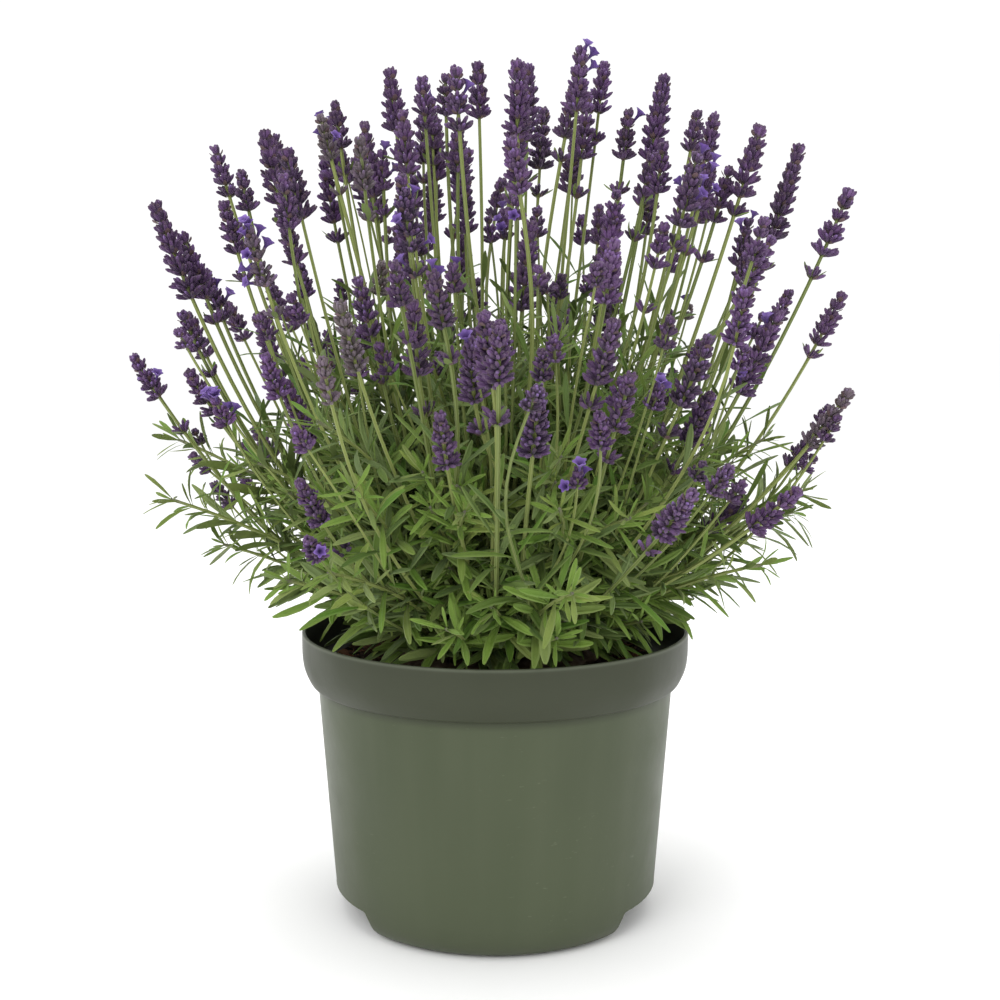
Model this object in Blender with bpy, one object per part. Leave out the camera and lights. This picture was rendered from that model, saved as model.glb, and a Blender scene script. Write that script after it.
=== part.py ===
"""Potted lavender: a nursery pot with soil, a woody crown, leafy shoots and flower stalks.

Metres, +Z up. The origin is the centre of the pot's foot on the ground, and the front is -Y.
"""

import math

import bmesh
import bpy
import numpy as np

# Pot: a 19 cm nursery container with a deep rim band and a notched foot.
RIM_RADIUS = 0.0950
POT_HEIGHT = 0.1400
BAND_BOTTOM = 0.1145
BAND_BOTTOM_RADIUS = 0.0905
BODY_TOP_RADIUS = 0.0874
BODY_BOTTOM_RADIUS = 0.0798
CORNER_HEIGHT = 0.0130
CORNER_STEPS = [(0.0012, 0.0068), (0.0046, 0.0019)]  # (in from the body, above the ground)
FOOT_RADIUS = 0.0705
FOOT_INNER_RADIUS = 0.0655
FLOOR_UNDERSIDE = 0.0140
WALL = 0.0018
TURNED_SIDES = 48

# The skirt below the raised floor stands on two feet, front and back, with a wide gap at each side.
NOTCH_TOP = 0.0126
NOTCH_HALF_ANGLE = math.radians(40)
NOTCH_INNER_RADIUS = 0.0600

# Drain holes in the floor.
DRAIN_HOLES = 5
DRAIN_HOLE_RADIUS = 0.0055
DRAIN_RING_RADIUS = 0.0540
DRAIN_HOLE_SIDES = 12
CUTTER_OVERRUN = 0.0030

# Soil and crown.
GAP = 0.0004
SOIL_EDGE = 0.1220
SOIL_MIDDLE = 0.1232
CROWN_RADIUS = 0.0500
CROWN_TOP = 0.1340
CROWN_FLARE = 1.06
CROWN_SIDES = 24

# Flower stalks.
STEM_RADIUS = 0.0013
HEAD_RADIUS = 0.0076
STALK_SIDES = 5
BASE_SHARE = 0.24
STALK_KNEE = (0.62, 0.62, 0.38)
STEM_RINGS = 5

# The rings of a head: (share of the head's length, radius over HEAD_RADIUS). Its whorls bulge.
HEAD_RINGS = [(0.03, 0.68), (0.20, 1.0), (0.36, 0.84), (0.52, 1.0), (0.70, 0.76), (0.84, 0.70), (1.0, 0.20)]

# Leafy shoots.
SHOOT_COUNT = 12
SHOOT_RADIUS = 0.0014
SHOOT_BASE_RADIUS = 0.0470
SHOOT_KNEE = (0.25, 0.62)
SHOOT_FORMS = [(0.088, 0.046), (0.060, 0.078)]  # (reach, rise), in turn: low and wide, then upright
SHOOT_SPREAD = math.radians(140)
LEAF_PAIRS = 5
LEAF_PATCH = 0.0011
LEAF_LENGTH = 0.030
LEAF_WIDTH = 0.0052
LEAF_THICKNESS = 0.0012
LEAF_STATIONS = [(0.12, 0.09), (0.50, 0.324), (1.0, 0.378)]  # (out, up), over LEAF_LENGTH
LEAF_SIZES = [(0.55, 1.0), (1.0, 0.8), (0.16, 0.5)]  # (width, thickness) at each station
CLEARANCE = 0.0012

# Heads on the outline: tip across, tip towards the back, tip height and head length, in cm.
OUTLINE = [
    (-17.4, -1.0, 27.5, 3.0), (-15.4, 2.5, 29.5, 3.4), (-15.6, -3.5, 34.5, 5.2), (-13.6, 1.0, 37.5, 4.0),
    (-10.8, -1.5, 38.0, 4.6), (-8.6, 3.5, 37.0, 4.6), (-6.2, -0.5, 38.5, 4.4), (-3.2, 3.0, 40.0, 3.4),
    (-0.8, -1.5, 41.0, 3.6), (1.6, 1.5, 41.4, 4.6), (4.0, -2.5, 41.6, 3.4), (5.4, 3.0, 41.8, 4.2),
    (8.0, -0.5, 40.6, 4.8), (10.8, 2.0, 39.2, 3.6), (12.2, -3.0, 38.0, 4.0), (14.8, 1.0, 37.6, 5.2),
    (16.6, -2.0, 35.2, 4.6), (17.4, 2.5, 30.5, 4.4), (16.6, -3.5, 26.0, 5.0), (16.8, 4.5, 23.5, 3.2),
]

# Heads that lean forward, in the same way. The back of the plant repeats them, turned half round.
FORWARD = [
    (1.8, -15.0, 26.5, 4.0), (-2.2, -13.5, 25.5, 3.8), (-8.2, -11.0, 22.5, 3.6), (-9.4, -6.5, 26.5, 3.8),
    (-3.4, -10.5, 30.0, 5.0), (0.2, -17.2, 29.0, 3.8), (5.6, -12.5, 27.0, 3.0), (9.2, -9.5, 28.5, 4.6),
    (1.6, -5.8, 33.5, 4.6), (5.2, -7.2, 34.0, 5.0), (-6.0, -7.0, 31.0, 4.0), (12.6, -6.5, 29.5, 4.6),
]

COLOURS = {
    "pot": (0.105, 0.125, 0.085),
    "soil": (0.035, 0.022, 0.014),
    "wood": (0.130, 0.090, 0.055),
    "leaf": (0.115, 0.190, 0.065),
    "flower": (0.085, 0.035, 0.140),
}


def clear_scene():
    for obj in list(bpy.data.objects):
        bpy.data.objects.remove(obj, do_unlink=True)


def plastic_or_plant(name, roughness):
    """A Principled material in the named colour."""
    material = bpy.data.materials.new(name)
    material.use_nodes = True
    shader = material.node_tree.nodes["Principled BSDF"]
    shader.inputs["Base Color"].default_value = (*COLOURS[name], 1)
    shader.inputs["Roughness"].default_value = roughness
    shader.inputs["Metallic"].default_value = 0
    material.diffuse_color = (*COLOURS[name], 1)
    return material


def add_object(name, mesh, material, parent=None):
    obj = bpy.data.objects.new(name, mesh)
    mesh.materials.append(material)
    bpy.context.scene.collection.objects.link(obj)
    obj.parent = parent
    return obj


def turned(name, profile, sides=TURNED_SIDES):
    """A closed mesh turned from (radius, height) points that run down the outside and back up inside.

    A point on the axis becomes one vertex, and the rest become rings.
    """
    mesh = bpy.data.meshes.new(name)
    bm = bmesh.new()
    rings = []
    for radius, height in profile:
        if radius == 0:
            rings.append([bm.verts.new((0, 0, height))])
            continue
        turns = [math.tau * k / sides for k in range(sides)]
        rings.append([bm.verts.new((radius * math.cos(a), radius * math.sin(a), height)) for a in turns])
    for upper, lower in zip(rings, rings[1:] + rings[:1]):
        for k in range(sides):
            corners = [upper[k % len(upper)], lower[k % len(lower)]]
            corners += [lower[(k + 1) % len(lower)], upper[(k + 1) % len(upper)]]
            corners = list(dict.fromkeys(corners))
            if len(corners) > 2:
                bm.faces.new(corners)
    bmesh.ops.recalc_face_normals(bm, faces=bm.faces)
    bm.to_mesh(mesh)
    bm.free()
    mesh.shade_smooth()
    mesh.set_sharp_from_angle(angle=math.radians(35))
    return mesh


def pot_profile():
    """Down the outer side from the rim to the ground, up inside the skirt, and over the floor to the rim."""
    return [
        (RIM_RADIUS, POT_HEIGHT),
        (RIM_RADIUS, POT_HEIGHT - 0.0130),
        (RIM_RADIUS - 0.0014, POT_HEIGHT - 0.0200),
        (BAND_BOTTOM_RADIUS, BAND_BOTTOM),
        (BODY_TOP_RADIUS, BAND_BOTTOM),
        (BODY_BOTTOM_RADIUS, CORNER_HEIGHT),
        *[(BODY_BOTTOM_RADIUS - inset, height) for inset, height in CORNER_STEPS],
        (FOOT_RADIUS, 0.0),
        (FOOT_INNER_RADIUS, 0.0),
        (FOOT_INNER_RADIUS, WALL),
        (FOOT_RADIUS, WALL),
        (BODY_BOTTOM_RADIUS - 0.0046 - 0.0012, 0.0034),
        (BODY_BOTTOM_RADIUS - 0.0012 - WALL, 0.0074),
        (BODY_BOTTOM_RADIUS - WALL, FLOOR_UNDERSIDE),
        (0, FLOOR_UNDERSIDE),
        (0, FLOOR_UNDERSIDE + WALL),
        (BODY_BOTTOM_RADIUS - 0.0070, FLOOR_UNDERSIDE + WALL),
        (BODY_BOTTOM_RADIUS - WALL, FLOOR_UNDERSIDE + 0.0060),
        (BODY_TOP_RADIUS - WALL, BAND_BOTTOM + WALL),
        (BAND_BOTTOM_RADIUS - WALL, BAND_BOTTOM + 1.6 * WALL),
        (RIM_RADIUS - WALL - 0.0014, POT_HEIGHT - 0.0190),
        (RIM_RADIUS - WALL, POT_HEIGHT - 0.0120),
        (RIM_RADIUS - WALL, POT_HEIGHT),
    ]


def add_cutter(name, outline, low, high):
    """A prism that stands on a closed outline of (x, y) points and only cuts."""
    bm = bmesh.new()
    bottom = [bm.verts.new((x, y, low)) for x, y in outline]
    top = [bm.verts.new((x, y, high)) for x, y in outline]
    bm.faces.new(bottom)
    bm.faces.new(top)
    for k in range(len(outline)):
        j = (k + 1) % len(outline)
        bm.faces.new((bottom[k], bottom[j], top[j], top[k]))
    bmesh.ops.recalc_face_normals(bm, faces=bm.faces)
    mesh = bpy.data.meshes.new(name)
    bm.to_mesh(mesh)
    bm.free()
    cutter = bpy.data.objects.new(name, mesh)
    bpy.context.scene.collection.objects.link(cutter)
    cutter.hide_render = True
    cutter.display_type = "WIRE"
    return cutter


def notch_outline(side):
    """The gap between the feet on one side: -1 is the left and 1 the right."""
    swings = np.linspace(-NOTCH_HALF_ANGLE, NOTCH_HALF_ANGLE, 3)
    inner = [(side * NOTCH_INNER_RADIUS * math.cos(a), NOTCH_INNER_RADIUS * math.sin(a)) for a in swings]
    reach = 1.5 * BODY_BOTTOM_RADIUS
    outer = [(side * reach * math.cos(a), reach * math.sin(a)) for a in swings[::-1]]
    return inner + outer


def hole_outline(number):
    """A drain hole, numbered round the floor, with a flat side towards the axis."""
    turn = math.tau * (number + 0.5) / DRAIN_HOLES
    centre = np.array([math.cos(turn), math.sin(turn)]) * DRAIN_RING_RADIUS
    corners = [turn + math.tau * (k + 0.5) / DRAIN_HOLE_SIDES for k in range(DRAIN_HOLE_SIDES)]
    return [centre + DRAIN_HOLE_RADIUS * np.array([math.cos(a), math.sin(a)]) for a in corners]


def make_pot(material, parent):
    pot = add_object("nursery_pot", turned("nursery_pot", pot_profile()), material, parent)
    cutters = [add_cutter("notch_cutter", notch_outline(side), -0.01, NOTCH_TOP) for side in (-1, 1)]
    for number in range(DRAIN_HOLES):
        low, high = FLOOR_UNDERSIDE - CUTTER_OVERRUN, FLOOR_UNDERSIDE + WALL + CUTTER_OVERRUN
        cutters.append(add_cutter("drain_hole_cutter", hole_outline(number), low, high))
    for cutter in cutters:
        cut = pot.modifiers.new(cutter.name, "BOOLEAN")
        cut.operation = "DIFFERENCE"
        cut.solver = "EXACT"
        cut.object = cutter


def make_soil(material, parent):
    """Compost that fills the pot up to just above the bottom of its rim band."""
    floor = FLOOR_UNDERSIDE + WALL
    side_gap = WALL + 2 * GAP
    profile = [
        (0, SOIL_MIDDLE),
        (0.060, SOIL_MIDDLE - 0.0002),
        (BODY_TOP_RADIUS - side_gap, SOIL_EDGE),
        (BODY_TOP_RADIUS - side_gap, BAND_BOTTOM + WALL),
        (BODY_BOTTOM_RADIUS - side_gap, floor + 0.0048),
        (BODY_BOTTOM_RADIUS - 0.0078, floor + GAP),
        (0, floor + GAP),
    ]
    add_object("potting_soil", turned("potting_soil", profile), material, parent)


def make_crown(material, parent):
    """Old wood: a low round boss on the soil, with a level top that the stalks and shoots stand on."""
    profile = [
        (0, CROWN_TOP),
        (CROWN_RADIUS, CROWN_TOP),
        (CROWN_FLARE * CROWN_RADIUS, SOIL_MIDDLE + GAP),
        (0, SOIL_MIDDLE + GAP),
    ]
    add_object("woody_crown", turned("woody_crown", profile, CROWN_SIDES), material, parent)


def bend(start, middle, end, shares):
    """Points on the parabola that leaves start towards middle and comes into end from it."""
    t = np.asarray(shares)[:, None]
    return (1 - t) ** 2 * start + 2 * t * (1 - t) * middle + t**2 * end


def stalk_line(tip, shares):
    """A stalk splays out low down and rises towards its tip. Its foot stands on the crown."""
    foot = np.array([tip[0] * BASE_SHARE, tip[1] * BASE_SHARE, CROWN_TOP + GAP])
    knee = foot + (tip - foot) * np.array(STALK_KNEE)
    return bend(foot, knee, tip, shares)


def ring_frames(points):
    """Two unit vectors across the path at each of its points."""
    along = np.gradient(points, axis=0)
    along[0] = (0, 0, 1)
    along /= np.linalg.norm(along, axis=1)[:, None]
    side = np.cross(along, (0.35, 0.94, 0.0))
    side /= np.linalg.norm(side, axis=1)[:, None]
    return side, np.cross(along, side)


def tube_mesh(name, points, radii, sides):
    """A closed tube of the given radius at each point."""
    side, other = ring_frames(points)
    bm = bmesh.new()
    rings = []
    for point, radius, u, v in zip(points, radii, side, other):
        turns = [math.tau * k / sides for k in range(sides)]
        rings.append([bm.verts.new(point + radius * (u * math.cos(a) + v * math.sin(a))) for a in turns])
    for low, high in zip(rings, rings[1:]):
        for k in range(sides):
            j = (k + 1) % sides
            bm.faces.new((low[k], low[j], high[j], high[k]))
    bm.faces.new(rings[0][::-1])
    bm.faces.new(rings[-1])
    bmesh.ops.recalc_face_normals(bm, faces=bm.faces)
    mesh = bpy.data.meshes.new(name)
    bm.to_mesh(mesh)
    bm.free()
    mesh.shade_smooth()
    mesh.set_sharp_from_angle(angle=math.radians(50))
    return mesh


def stalk_rings(length, head):
    """(share of the length, radius) of each ring: a plain stem, then the whorls of the head."""
    start = 1 - head / length
    stem = [(start * 0.96 * k / (STEM_RINGS - 1), STEM_RADIUS) for k in range(STEM_RINGS)]
    stem.append((start - 0.02 * (1 - start), STEM_RADIUS))
    return stem + [(start + share * (1 - start), wide * HEAD_RADIUS) for share, wide in HEAD_RINGS]


def all_tips():
    """Every (tip, head length) in metres: the outline, the heads in front and those behind."""
    behind = [(-x, -y, z, head) for x, y, z, head in FORWARD]
    rows = OUTLINE + FORWARD + behind
    return [(np.array(row[:3]) / 100, row[3] / 100) for row in rows]


def make_stalk(number, tip, head, stem, flower, parent, taken):
    """One solid for a stem and its head, with the two materials on its faces."""
    steps = np.linspace(0, 1, 60)
    fine = stalk_line(tip, steps)
    run = np.concatenate([[0], np.cumsum(np.linalg.norm(np.diff(fine, axis=0), axis=1))])
    length = run[-1]
    rings = stalk_rings(length, head)
    points = stalk_line(tip, np.interp([share for share, _ in rings], run / length, steps))
    mesh = tube_mesh(f"flower_stalk_{number:02d}", points, [radius for _, radius in rings], STALK_SIDES)
    add_object(mesh.name, mesh, stem, parent)
    mesh.materials.append(flower)
    head_faces = (STEM_RINGS + 1) * STALK_SIDES
    for index, face in enumerate(mesh.polygons):
        face.material_index = int(index >= head_faces and index != len(mesh.polygons) - 2)
    taken.append((fine[:-10], STEM_RADIUS))
    taken.append((fine[run > length - head], HEAD_RADIUS))


def is_clear(points, radius, taken):
    """True if a tube of this radius through these points stays clear of every piece so far."""
    for others, other_radius in taken:
        apart = np.linalg.norm(points[:, None] - others[None], axis=2).min()
        if apart < radius + other_radius + CLEARANCE:
            return False
    return True


def shoot_line(bearing, reach, rise):
    """A shoot leaves the crown steeply and arches outwards."""
    out = np.array([math.sin(bearing), -math.cos(bearing), 0])
    up = np.array([0, 0, 1.0])
    foot = out * SHOOT_BASE_RADIUS + up * (CROWN_TOP + GAP)
    knee = foot + out * reach * SHOOT_KNEE[0] + up * rise * SHOOT_KNEE[1]
    return bend(foot, knee, foot + out * reach + up * rise, np.linspace(0, 1, 25))


def leaf_line(origin, outward):
    """Three stations of a leaf that arches over: its stalk, its widest part and its tip."""
    up = np.array([0, 0, 1.0])
    return [origin + LEAF_LENGTH * (outward * out + up * rise) for out, rise in LEAF_STATIONS]


def grow_leaf(bm, face, stations, outward):
    """Draws a leaf out of one face of the stem, section by section, so that both stay one body."""
    across = np.cross(outward, (0, 0, 1.0))
    across /= np.linalg.norm(across)
    middle = np.array(face.calc_center_median())
    loop = list(face.verts)
    signs = []
    for vert in loop:
        offset = np.array(vert.co) - middle
        signs.append((math.copysign(1, offset @ across), math.copysign(1, offset[2])))
    bm.faces.remove(face)
    for station, (wide, thick) in zip(stations, LEAF_SIZES):
        ahead = []
        for s, h in signs:
            place = station + across * s * wide * LEAF_WIDTH / 2
            ahead.append(bm.verts.new(place + np.array([0, 0, h * thick * LEAF_THICKNESS / 2])))
        for k in range(4):
            j = (k + 1) % 4
            bm.faces.new((loop[k], loop[j], ahead[j], ahead[k]))
        loop = ahead
    bm.faces.new(loop)


def make_shoot(number, line, bearing, material, parent, taken):
    """A square stem with opposite pairs of leaves. A leaf that would touch its neighbours is left out."""
    turns = [bearing + math.radians(45 + 90 * k) for k in range(4)]
    corner = [np.array([math.cos(turn), math.sin(turn), 0]) for turn in turns]
    nodes = [int(k) for k in np.linspace(7, 22, LEAF_PAIRS)]
    stations = [line[0]]
    for k in nodes:
        up = (line[k + 1] - line[k - 1]) / np.linalg.norm(line[k + 1] - line[k - 1])
        stations += [line[k] - up * LEAF_PATCH, line[k] + up * LEAF_PATCH]
    stations.append(line[-1])
    bm = bmesh.new()
    rings = []
    for place in stations:
        rings.append([bm.verts.new(place + c * SHOOT_RADIUS * math.sqrt(2)) for c in corner])
    sides = {}
    for level, (low, high) in enumerate(zip(rings, rings[1:])):
        for k in range(4):
            j = (k + 1) % 4
            sides[level, k] = bm.faces.new((low[k], low[j], high[j], high[k]))
    bm.faces.new(rings[0][::-1])
    bm.faces.new(rings[-1])
    bm.normal_update()
    own = []
    for pair, k in enumerate(nodes):
        for side in (pair % 2, pair % 2 + 2):
            face = sides[2 * pair + 1, side]
            outward = (corner[side] + corner[(side + 1) % 4]) / math.sqrt(2)
            path = leaf_line(line[k], outward)
            fine = bend(*path, np.linspace(0.1, 1, 8))
            if is_clear(fine, LEAF_WIDTH / 2, taken):
                grow_leaf(bm, face, path, outward)
                own.append((fine, LEAF_WIDTH / 2))
    taken += own
    taken.append((line, SHOOT_RADIUS * 1.5))
    bmesh.ops.recalc_face_normals(bm, faces=bm.faces)
    mesh = bpy.data.meshes.new(f"leafy_shoot_{number:02d}")
    bm.to_mesh(mesh)
    bm.free()
    add_object(mesh.name, mesh, material, parent)


def free_line(bearing, reach, rise, taken):
    """The nearest bearing at which the shoot's own stem passes between the stalks."""
    for step in range(40):
        swing = math.radians(1) * (step // 2 + 1) * (-1) ** step
        line = shoot_line(bearing + swing, reach, rise)
        if is_clear(line, SHOOT_RADIUS * 1.5, taken):
            return line, bearing + swing
    raise ValueError("no room for this shoot")


def main():
    clear_scene()
    root = bpy.data.objects.new("potted_lavender", None)
    bpy.context.scene.collection.objects.link(root)
    pot = plastic_or_plant("pot", 0.45)
    soil = plastic_or_plant("soil", 0.95)
    wood = plastic_or_plant("wood", 0.85)
    leaf = plastic_or_plant("leaf", 0.65)
    flower = plastic_or_plant("flower", 0.75)
    make_pot(pot, root)
    make_soil(soil, root)
    make_crown(wood, root)
    taken = []
    for number, (tip, head) in enumerate(all_tips(), 1):
        make_stalk(number, tip, head, leaf, flower, root, taken)
    # The shoots leave a gap at the back, over the watering space.
    for number in range(SHOOT_COUNT):
        bearing = SHOOT_SPREAD * (2 * number / (SHOOT_COUNT - 1) - 1)
        reach, rise = SHOOT_FORMS[number % len(SHOOT_FORMS)]
        line, bearing = free_line(bearing, reach, rise, taken)
        make_shoot(number + 1, line, bearing, leaf, root, taken)


main()
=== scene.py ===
# %% [markdown]
# # A lavender in its nursery pot
#
# The plant has four kinds of piece: square green stems, spikes of small violet calyces, narrow
# leaves, and the old wood that they all grow from. The pot is one thin plastic moulding. There are
# thousands of leaves and calyces but only a few shapes, so each shape is written once, as a formula
# on a grid, and worked out for all of its copies together.

# %% Load the solid model
import math

import bpy
import numpy as np
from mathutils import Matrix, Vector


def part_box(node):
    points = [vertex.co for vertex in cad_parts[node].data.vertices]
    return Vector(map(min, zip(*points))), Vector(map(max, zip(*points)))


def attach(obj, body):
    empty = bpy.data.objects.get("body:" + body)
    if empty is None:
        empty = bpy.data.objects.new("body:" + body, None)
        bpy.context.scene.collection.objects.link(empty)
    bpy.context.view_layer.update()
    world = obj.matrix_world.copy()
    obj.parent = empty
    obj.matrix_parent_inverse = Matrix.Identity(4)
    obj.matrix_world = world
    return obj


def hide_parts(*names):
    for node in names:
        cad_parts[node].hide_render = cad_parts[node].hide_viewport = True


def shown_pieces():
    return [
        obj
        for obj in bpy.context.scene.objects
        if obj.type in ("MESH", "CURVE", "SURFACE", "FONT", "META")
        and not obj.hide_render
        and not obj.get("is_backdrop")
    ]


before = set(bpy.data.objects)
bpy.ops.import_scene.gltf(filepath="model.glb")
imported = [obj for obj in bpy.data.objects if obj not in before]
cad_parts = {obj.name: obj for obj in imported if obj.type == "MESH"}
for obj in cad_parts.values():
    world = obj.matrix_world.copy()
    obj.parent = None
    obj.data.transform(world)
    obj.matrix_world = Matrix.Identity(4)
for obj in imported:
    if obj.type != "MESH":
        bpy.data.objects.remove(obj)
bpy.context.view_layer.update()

# %% [markdown]
# ## From a grid of points to a closed mesh
#
# Almost everything here is a tube: a leaf is a flat one, a calyx is a short fat one, and even the pot
# is a wide one whose first and last rings lie on its floor. A ring that goes anticlockwise as seen
# from the tube's end makes faces that look outwards. Each copy also gets a square tile of the UV map
# to itself, so that no two leaves share a spot when the colours are baked.

# %% Wrap rings of points into tubes
def wrap(points, marks, slot=0):
    """Closed tubes from (copies, rings, sides, 3) points: faces between rings and a cap at each end.

    marks holds four numbers per point that the materials read. Along a tube, v runs with the mean
    distance between its rings, and u runs round it.
    """
    copies, rings, sides, _ = points.shape
    low = np.arange(rings - 1)[:, None] * sides
    near = (low + np.arange(sides)).ravel()
    next_to = (low + np.roll(np.arange(sides), -1)).ravel()
    quads = np.stack([near, next_to, next_to + sides, near + sides], 1)
    caps = np.stack([np.arange(sides)[::-1], (rings - 1) * sides + np.arange(sides)])
    steps = np.linalg.norm(np.diff(points, axis=1), axis=3).mean((0, 2))
    v = np.concatenate([[0], np.cumsum(steps)]) / steps.sum()
    u = np.arange(sides + 1) / sides
    left, bottom = np.tile(u[:-1], rings - 1), np.repeat(v[:-1], sides)
    right, top = np.tile(u[1:], rings - 1), np.repeat(v[1:], sides)
    quad_uv = np.stack([left, bottom, right, bottom, right, top, left, top], 1).reshape(-1, 4, 2)
    cap_uv = np.stack([np.tile(u[:-1], (2, 1)), np.repeat([[0.0], [1.0]], sides, 1)], 2)
    return {"points": points.reshape(-1, 3), "marks": marks.reshape(-1, 4), "copies": copies,
            "each": rings * sides, "slot": slot, "faces": [(quads, quad_uv), (caps, cap_uv)]}


def tile_of(numbers, total, uv):
    """Shrinks a UV square into the numbered tile of a square sheet of tiles, with a small margin."""
    across = math.ceil(math.sqrt(total))
    corner = np.stack([numbers % across, numbers // across], 1)[:, None, None]
    return (corner + 0.04 + 0.92 * uv[None]) / across


def make_piece(name, parts, materials, sharp=60):
    """Joins parts from wrap() into one mesh object that rides on the root body."""
    total = sum(part["copies"] for part in parts)
    corners, counts, maps, slots = [], [], [], []
    first_point, first_tile = 0, 0
    for part in parts:
        copy = np.arange(part["copies"])
        for faces, uv in part["faces"]:
            numbers = first_point + copy[:, None, None] * part["each"] + faces[None]
            corners.append(numbers.ravel())
            counts.append(np.full(len(copy) * len(faces), faces.shape[1]))
            maps.append(tile_of(first_tile + copy, total, uv).reshape(-1, 2))
            slots.append(np.full(len(copy) * len(faces), part["slot"]))
        first_point += len(part["points"])
        first_tile += part["copies"]
    counts = np.concatenate(counts)
    mesh = bpy.data.meshes.new(name)
    mesh.vertices.add(first_point)
    mesh.vertices.foreach_set("co", np.concatenate([p["points"] for p in parts]).astype(np.float32).ravel())
    mesh.loops.add(int(counts.sum()))
    mesh.loops.foreach_set("vertex_index", np.concatenate(corners).astype(np.int32))
    mesh.polygons.add(len(counts))
    mesh.polygons.foreach_set("loop_start", (np.cumsum(counts) - counts).astype(np.int32))
    mesh.polygons.foreach_set("material_index", np.concatenate(slots).astype(np.int32))
    mesh.update(calc_edges=True)
    mesh.uv_layers.new(name="OFBake").data.foreach_set("uv", np.concatenate(maps).astype(np.float32).ravel())
    mark = mesh.attributes.new("mark", "FLOAT_COLOR", "POINT")
    mark.data.foreach_set("color", np.concatenate([p["marks"] for p in parts]).astype(np.float32).ravel())
    mesh.shade_smooth()
    mesh.set_sharp_from_angle(angle=math.radians(sharp))
    for material in materials:
        mesh.materials.append(material)
    piece = bpy.data.objects.new(name, mesh)
    bpy.context.scene.collection.objects.link(piece)
    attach(piece, "root")
    return piece


def unit(vectors):
    """Each vector divided by its length."""
    return vectors / np.linalg.norm(vectors, axis=-1, keepdims=True)


def ring_turns(sides):
    """The cosine and sine of each corner of a ring."""
    turn = np.arange(sides) * math.tau / sides
    return np.cos(turn), np.sin(turn)


def marks_of(shape, tone=0.5, along=0.0, edge=0.0, other=0.0):
    """Four numbers for each point: a copy's own tone, how far along it is, and two kinds of edge."""
    return np.stack([np.broadcast_to(value, shape) for value in (tone, along, edge, other)], -1)


# %% [markdown]
# ## Finishes
#
# Every finish is a Principled shader whose colour comes from a few nodes. The plant's colours follow
# the marks: each leaf and each calyx has a tone of its own, margins are paler, and the part near the
# base differs from the tip. Fine noise on the object's own coordinates breaks up what is left.

# %% Helpers for the colour nodes
# The two ends of a mask: none of the second colour, and all of it.
NONE = (0.0, 0.0, 0.0)
ALL = (1.0, 1.0, 1.0)


class Finish:
    """A Principled material and short calls that add nodes to it."""

    def __init__(self, name, roughness, specular=0.4, sheen=0.0):
        self.material = bpy.data.materials.new(name)
        self.material.use_nodes = True
        self.nodes, self.links = self.material.node_tree.nodes, self.material.node_tree.links
        self.shader = self.nodes["Principled BSDF"]
        self.shader.inputs["Roughness"].default_value = roughness
        self.shader.inputs["Specular IOR Level"].default_value = specular
        self.shader.inputs["Sheen Weight"].default_value = sheen
        self.shader.inputs["Sheen Roughness"].default_value = 0.6
        place = self.nodes.new("ShaderNodeTexCoord")
        self.place = place.outputs["Object"]

    def mark(self):
        """The four marks: tone, along, edge and other."""
        read = self.nodes.new("ShaderNodeAttribute")
        read.attribute_name = "mark"
        split = self.nodes.new("ShaderNodeSeparateColor")
        self.links.new(read.outputs["Color"], split.inputs["Color"])
        return [*split.outputs, read.outputs["Alpha"]]

    def noise(self, scale, detail=2.0, stretch=None):
        """Soft noise from 0 to 1; stretch scales the pattern along X, Y and Z."""
        node = self.nodes.new("ShaderNodeTexNoise")
        node.inputs["Scale"].default_value = scale
        node.inputs["Detail"].default_value = detail
        place = self.place
        if stretch:
            turn = self.nodes.new("ShaderNodeMapping")
            turn.inputs["Scale"].default_value = stretch
            self.links.new(place, turn.inputs["Vector"])
            place = turn.outputs["Vector"]
        self.links.new(place, node.inputs["Vector"])
        return node.outputs["Fac"]

    def ramp(self, value, stops):
        """Colours at given values, smoothly joined."""
        node = self.nodes.new("ShaderNodeValToRGB")
        band = node.color_ramp
        while len(band.elements) < len(stops):
            band.elements.new(0.5)
        for element, (place, colour) in zip(band.elements, stops):
            element.position = place
            element.color = (*colour, 1)
        self.links.new(value, node.inputs["Fac"])
        return node.outputs["Color"]

    def mix(self, amount, first, second, how="MIX"):
        """first and second mixed by amount; each may be a socket or a plain value."""
        node = self.nodes.new("ShaderNodeMix")
        node.data_type = "RGBA"
        node.blend_type = how
        for socket, value in zip((node.inputs[0], node.inputs[6], node.inputs[7]), (amount, first, second)):
            if isinstance(value, bpy.types.NodeSocket):
                self.links.new(value, socket)
            else:
                socket.default_value = (*value, 1) if isinstance(value, tuple) else value
        return node.outputs[2]

    def sums(self, how, first, second, clamp=True):
        """One step of arithmetic on two values."""
        node = self.nodes.new("ShaderNodeMath")
        node.operation = how
        node.use_clamp = clamp
        for socket, value in zip(node.inputs, (first, second)):
            if isinstance(value, bpy.types.NodeSocket):
                self.links.new(value, socket)
            else:
                socket.default_value = value
        return node.outputs[0]

    def colour(self, socket):
        """The base colour comes from this socket."""
        self.links.new(socket, self.shader.inputs["Base Color"])

    def relief(self, height, strength, distance):
        """A bump from a height that goes from 0 to 1."""
        bump = self.nodes.new("ShaderNodeBump")
        bump.inputs["Strength"].default_value = strength
        bump.inputs["Distance"].default_value = distance
        self.links.new(height, bump.inputs["Height"])
        self.links.new(bump.outputs["Normal"], self.shader.inputs["Normal"])


# %% [markdown]
# Lavender leaves are green under a fine grey felt. Their rolled margins and undersides carry most of
# the felt, so they are paler, and young leaves are yellower. The tone mark picks a leaf's green. Its
# last digits, which are as good as random, pick a few vivid blades and say how much felt the rest have.

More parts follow.
